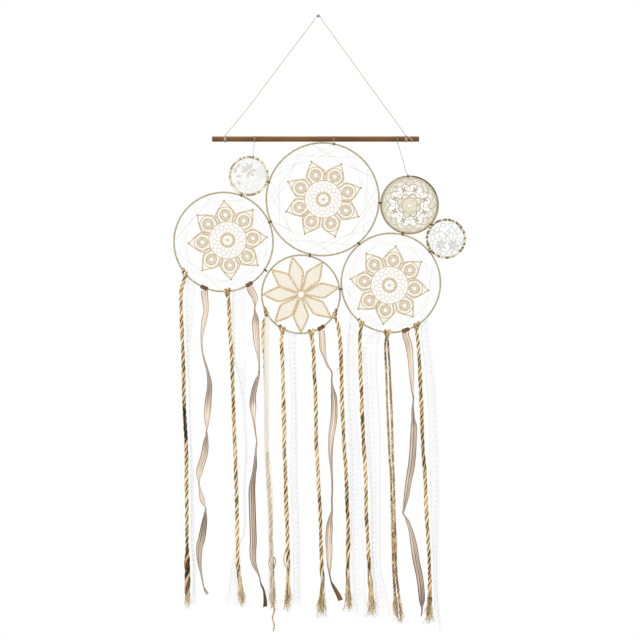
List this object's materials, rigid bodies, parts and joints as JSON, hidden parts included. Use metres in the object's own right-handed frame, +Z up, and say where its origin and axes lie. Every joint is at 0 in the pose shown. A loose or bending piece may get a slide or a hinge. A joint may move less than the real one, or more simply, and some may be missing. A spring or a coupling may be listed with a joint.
{
  "type": "hoop dream catcher wall hanging",
  "caption": "Wall hanging of wrapped hoops tied edge to edge under a dowel, with crocheted doilies and a fringe of ropes, ribbons and lace.",
  "frame": {"origin": "the point where the hanging cord passes over its nail", "axes": "+Z up, +X to the right seen from the front, +Y towards the wall behind"},
  "size_m": [0.6443, 0.015, 1.357],
  "materials": {
    "dowel_wood": "satin",
    "hoop_wire": "satin",
    "hanging_cord": "matte",
    "hoop_thread": "matte",
    "mandala_cotton": "matte",
    "star_cotton": "matte",
    "doily_cotton": "matte",
    "white_lace": "matte",
    "web_thread": "matte",
    "lashing_thread": "matte",
    "jute": "matte",
    "ribbon_band": "satin",
    "ribbon": "satin"
  },
  "bodies": {
    "hanger": {"dowel": "dowel_wood", "hanging_cord": "hanging_cord", "top_knot": "hanging_cord", "cord_tie_left": "hanging_cord", "cord_tie_right": "hanging_cord"},
    "hoops": {"hoop_top": "hoop_wire", "hoop_left": "hoop_wire", "hoop_right": "hoop_wire", "hoop_star": "hoop_wire", "hoop_doily": "hoop_wire", "hoop_small_left": "hoop_wire", "hoop_small_right": "hoop_wire", "wrap_top": "hoop_thread", "wrap_left": "hoop_thread", "wrap_right": "hoop_thread", "wrap_star": "hoop_thread", "wrap_doily": "hoop_thread", "wrap_small_left": "hoop_thread", "wrap_small_right": "hoop_thread", "mandala_top": "mandala_cotton", "mandala_left": "mandala_cotton", "mandala_right": "mandala_cotton", "star_flower": "star_cotton", "round_doily": "doily_cotton", "lace_motif_left": "white_lace", "lace_motif_right": "white_lace", "web_top": "web_thread", "web_left": "web_thread", "web_right": "web_thread", "star_ties": "web_thread", "hoop_lashings": "lashing_thread", "dowel_loops": "hoop_thread", "left_string": "hanging_cord", "right_string": "hanging_cord", "rope_knots": "jute", "ribbon_bands": "ribbon_band", "lace_folds": "white_lace"},
    "rope_1": {"rope_1": "jute"},
    "rope_2": {"rope_2": "jute"},
    "rope_3": {"rope_3": "jute"},
    "rope_4": {"rope_4": "jute"},
    "rope_5": {"rope_5": "jute"},
    "rope_6": {"rope_6": "jute"},
    "rope_7": {"rope_7": "jute"},
    "rope_8": {"rope_8_left": "jute", "rope_8_right": "jute"},
    "rope_9": {"rope_9": "jute"},
    "ribbon_1": {"ribbon_1": "ribbon"},
    "ribbon_2": {"ribbon_2": "ribbon"},
    "ribbon_3": {"ribbon_3": "ribbon"},
    "ribbon_4": {"ribbon_4": "ribbon"},
    "lace_1": {"lace_1": "white_lace"},
    "lace_2": {"lace_2": "white_lace"},
    "lace_3": {"lace_3": "white_lace"},
    "lace_4": {"lace_4": "white_lace"},
    "lace_5": {"lace_5": "white_lace"},
    "lace_6": {"lace_6": "white_lace"},
    "lace_7": {"lace_7": "white_lace"}
  },
  "joints": [
    {"name": "hoops_swing", "type": "hinge", "parent": "hanger", "child": "hoops", "pos_m": [0.0345, 0, -0.275], "axis": [-1, 0, 0], "range_deg": [-20, 60]},
    {"name": "rope_1_swing", "type": "hinge", "parent": "hoops", "child": "rope_1", "pos_m": [-0.29372, 0, -0.57751], "axis": [-1, 0, 0], "range_deg": [-30, 60]},
    {"name": "rope_2_swing", "type": "hinge", "parent": "hoops", "child": "rope_2", "pos_m": [-0.19961, 0, -0.61814], "axis": [-1, 0, 0], "range_deg": [-30, 60]},
    {"name": "rope_3_swing", "type": "hinge", "parent": "hoops", "child": "rope_3", "pos_m": [-0.11456, 0, -0.66432], "axis": [-1, 0, 0], "range_deg": [-30, 60]},
    {"name": "rope_4_swing", "type": "hinge", "parent": "hoops", "child": "rope_4", "pos_m": [-0.07892, 0, -0.7004], "axis": [-1, 0, 0], "range_deg": [-30, 60]},
    {"name": "rope_5_swing", "type": "hinge", "parent": "hoops", "child": "rope_5", "pos_m": [-0.0153, 0, -0.70748], "axis": [-1, 0, 0], "range_deg": [-30, 60]},
    {"name": "rope_6_swing", "type": "hinge", "parent": "hoops", "child": "rope_6", "pos_m": [0.03672, 0, -0.6667], "axis": [-1, 0, 0], "range_deg": [-30, 60]},
    {"name": "rope_7_swing", "type": "hinge", "parent": "hoops", "child": "rope_7", "pos_m": [0.09395, 0, -0.68662], "axis": [-1, 0, 0], "range_deg": [-30, 60]},
    {"name": "rope_8_swing", "type": "hinge", "parent": "hoops", "child": "rope_8", "pos_m": [0.15118, 0, -0.70825], "axis": [-1, 0, 0], "range_deg": [-30, 60]},
    {"name": "rope_9_swing", "type": "hinge", "parent": "hoops", "child": "rope_9", "pos_m": [0.21601, 0, -0.69281], "axis": [-1, 0, 0], "range_deg": [-30, 60]},
    {"name": "ribbon_1_swing", "type": "hinge", "parent": "hoops", "child": "ribbon_1", "pos_m": [-0.25095, 0, -0.60905], "axis": [-1, 0, 0], "range_deg": [-30, 60]},
    {"name": "ribbon_2_swing", "type": "hinge", "parent": "hoops", "child": "ribbon_2", "pos_m": [-0.15207, 0, -0.60262], "axis": [-1, 0, 0], "range_deg": [-30, 60]},
    {"name": "ribbon_3_swing", "type": "hinge", "parent": "hoops", "child": "ribbon_3", "pos_m": [0.00627, 0, -0.69805], "axis": [-1, 0, 0], "range_deg": [-30, 60]},
    {"name": "ribbon_4_swing", "type": "hinge", "parent": "hoops", "child": "ribbon_4", "pos_m": [0.19214, 0, -0.70217], "axis": [-1, 0, 0], "range_deg": [-30, 60]},
    {"name": "lace_1_swing", "type": "hinge", "parent": "hoops", "child": "lace_1", "pos_m": [-0.28176, 0.006, -0.59171], "axis": [-1, 0, 0], "range_deg": [-30, 60]},
    {"name": "lace_2_swing", "type": "hinge", "parent": "hoops", "child": "lace_2", "pos_m": [-0.19961, 0, -0.61814], "axis": [-1, 0, 0], "range_deg": [-30, 60]},
    {"name": "lace_3_swing", "type": "hinge", "parent": "hoops", "child": "lace_3", "pos_m": [-0.11456, 0, -0.66432], "axis": [-1, 0, 0], "range_deg": [-30, 60]},
    {"name": "lace_4_swing", "type": "hinge", "parent": "hoops", "child": "lace_4", "pos_m": [-0.05762, 0.006, -0.70616], "axis": [-1, 0, 0], "range_deg": [-30, 60]},
    {"name": "lace_5_swing", "type": "hinge", "parent": "hoops", "child": "lace_5", "pos_m": [0.0814, 0.006, -0.67697], "axis": [-1, 0, 0], "range_deg": [-30, 60]},
    {"name": "lace_6_swing", "type": "hinge", "parent": "hoops", "child": "lace_6", "pos_m": [0.1367, 0.006, -0.70294], "axis": [-1, 0, 0], "range_deg": [-30, 60]},
    {"name": "lace_7_swing", "type": "hinge", "parent": "hoops", "child": "lace_7", "pos_m": [0.23163, 0.006, -0.68172], "axis": [-1, 0, 0], "range_deg": [-30, 60]}
  ],
  "couplings": [
    {"joint": "lace_2_swing", "follows": "rope_2_swing", "ratio": 1},
    {"joint": "lace_3_swing", "follows": "rope_3_swing", "ratio": 1}
  ]
}
